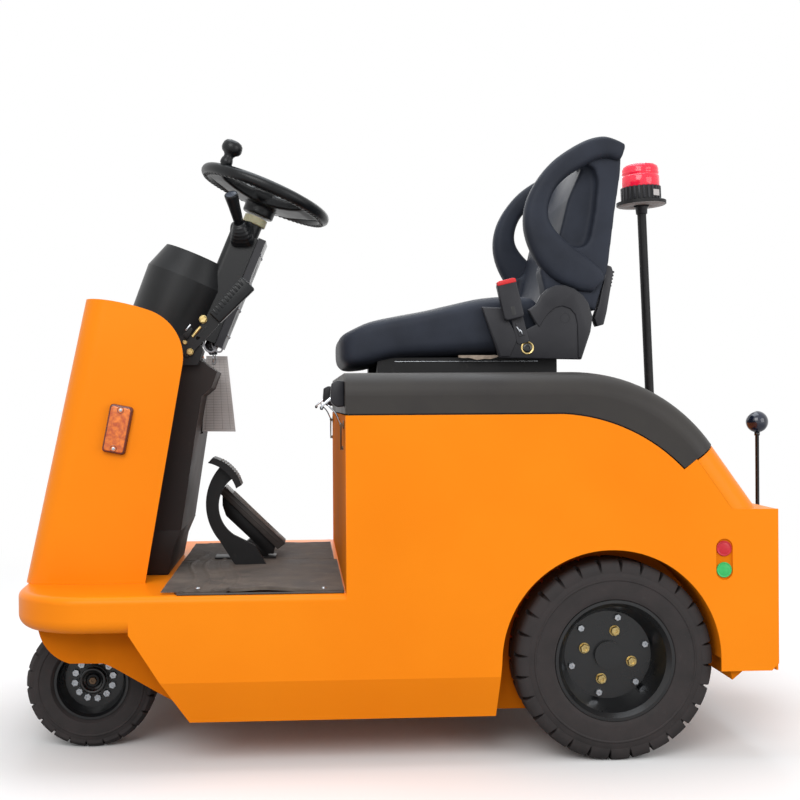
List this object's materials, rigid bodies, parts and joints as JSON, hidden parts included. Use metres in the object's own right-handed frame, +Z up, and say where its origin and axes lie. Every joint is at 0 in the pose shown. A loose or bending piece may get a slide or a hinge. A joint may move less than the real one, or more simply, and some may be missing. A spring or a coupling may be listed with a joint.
{
  "type": "airport baggage tug",
  "caption": "Small electric tow tractor with a standing-height steering column, a seat on a hinged battery cover, a wrapped front shield, a pole beacon and a rear drawbar jaw.",
  "frame": {"origin": "centre of the footprint's bounding box, on the ground", "axes": "the tug faces -X, its left side is -Y, +Z is up"},
  "size_m": [1.692, 0.9, 1.3289],
  "materials": {
    "body_paint": "satin",
    "cover_plastic": "matte",
    "black_steel": "satin",
    "battery_case": "matte",
    "console_plastic": "matte",
    "grey_plastic": "matte",
    "cream_plastic": "matte",
    "black_plastic": "gloss",
    "brake_grip_plastic": "matte",
    "card_plastic": "gloss",
    "zinc": "plated",
    "handle_plastic": "gloss",
    "mat_rubber": "matte",
    "marker_lens": "gloss",
    "beacon_lens_plastic": "gloss",
    "lamp_lens": "gloss",
    "seat_vinyl": "grained",
    "rim_paint": "satin",
    "tyre_rubber": "matte"
  },
  "bodies": {
    "chassis": {"front_chassis": "body_paint", "side_panel_left": "body_paint", "side_panel_right": "body_paint", "slope_panel": "body_paint", "tail_panel": "body_paint", "rear_ballast": "body_paint", "battery_tray": "body_paint", "battery": "battery_case", "chassis_rails": "black_steel", "rear_wheel_wells": "body_paint", "drive_axle": "black_steel", "housing_walls": "body_paint", "front_axle": "black_steel", "steering_gear": "black_steel", "front_shield": "body_paint", "console": "console_plastic", "column_cover": "console_plastic", "column_back_plate": "grey_plastic", "bearing_collar": "cream_plastic", "lever_boot": "console_plastic", "direction_lever": "black_plastic", "brake_lever": "black_steel", "brake_grip": "brake_grip_plastic", "key_switch": "console_plastic", "key_ring": "zinc", "key_card": "card_plastic", "floor_mat": "mat_rubber", "brake_pedal": "mat_rubber", "accelerator": "mat_rubber", "side_markers": "marker_lens", "lid_latches": "zinc", "hinge_pins": "black_steel", "beacon_post": "black_steel", "beacon_lens": "beacon_lens_plastic", "indicator_plate": "console_plastic", "indicator_lamps": "lamp_lens", "hitch_jaw": "black_steel"},
    "battery_cover": {"lid": "cover_plastic", "hinge_eyes": "black_steel", "latch_keepers": "black_steel", "seat_slides": "black_steel", "seat_cushion": "seat_vinyl", "seat_back": "seat_vinyl", "seat_wings": "seat_vinyl", "recliner_covers": "black_plastic", "seat_buckle": "black_plastic"},
    "steering_wheel": {"steering_wheel": "black_plastic"},
    "knuckle_left": {"knuckle_left": "black_steel"},
    "knuckle_right": {"knuckle_right": "black_steel"},
    "tie_rod": {"tie_rod": "black_steel"},
    "hitch_pin": {"hitch_pin": "handle_plastic"},
    "wheel_front_left": {"rim_front_left": "rim_paint", "tyre_front_left": "tyre_rubber"},
    "wheel_front_right": {"rim_front_right": "rim_paint", "tyre_front_right": "tyre_rubber"},
    "wheel_rear_left": {"rim_rear_left": "rim_paint", "tyre_rear_left": "tyre_rubber"},
    "wheel_rear_right": {"rim_rear_right": "rim_paint", "tyre_rear_right": "tyre_rubber"}
  },
  "joints": [
    {"name": "steer_left", "type": "hinge", "parent": "chassis", "child": "knuckle_left", "pos_m": [-0.704, -0.14, 0.1325], "axis": [0, 0, 1], "range_deg": [-35, 35]},
    {"name": "steer_right", "type": "hinge", "parent": "chassis", "child": "knuckle_right", "pos_m": [-0.704, 0.14, 0.1325], "axis": [0, 0, 1], "range_deg": [-35, 35]},
    {"name": "tie_rod_pivot", "type": "hinge", "parent": "knuckle_left", "child": "tie_rod", "pos_m": [-0.614, -0.14, 0.12], "axis": [0, 0, 1], "range_deg": [-35, 35]},
    {"name": "steering_wheel_turn", "type": "hinge", "parent": "chassis", "child": "steering_wheel", "pos_m": [-0.3465, 0, 1.1865], "axis": [0.3843, 0, 0.9232], "range_deg": [-420, 420]},
    {"name": "cover_hinge", "type": "hinge", "parent": "chassis", "child": "battery_cover", "pos_m": [0.54677, 0, 0.62211], "axis": [0, 1, 0], "range_deg": [0, 55]},
    {"name": "hitch_pin_lift", "type": "slide", "parent": "chassis", "child": "hitch_pin", "axis": [0, 0, 1], "range_m": [0, 0.085]},
    {"name": "spin_front_left", "type": "hinge", "parent": "knuckle_left", "child": "wheel_front_left", "pos_m": [-0.704, -0.22, 0.1325], "axis": [0, 1, 0], "continuous": true},
    {"name": "spin_rear_left", "type": "hinge", "parent": "chassis", "child": "wheel_rear_left", "pos_m": [0.346, -0.385, 0.197], "axis": [0, 1, 0], "continuous": true},
    {"name": "spin_front_right", "type": "hinge", "parent": "knuckle_right", "child": "wheel_front_right", "pos_m": [-0.704, 0.22, 0.1325], "axis": [0, 1, 0], "continuous": true},
    {"name": "spin_rear_right", "type": "hinge", "parent": "chassis", "child": "wheel_rear_right", "pos_m": [0.346, 0.385, 0.197], "axis": [0, 1, 0], "continuous": true}
  ],
  "couplings": [
    {"joint": "steer_right", "follows": "steer_left", "ratio": 1},
    {"joint": "tie_rod_pivot", "follows": "steer_left", "ratio": -1},
    {"joint": "steering_wheel_turn", "follows": "steer_left", "ratio": 12}
  ]
}
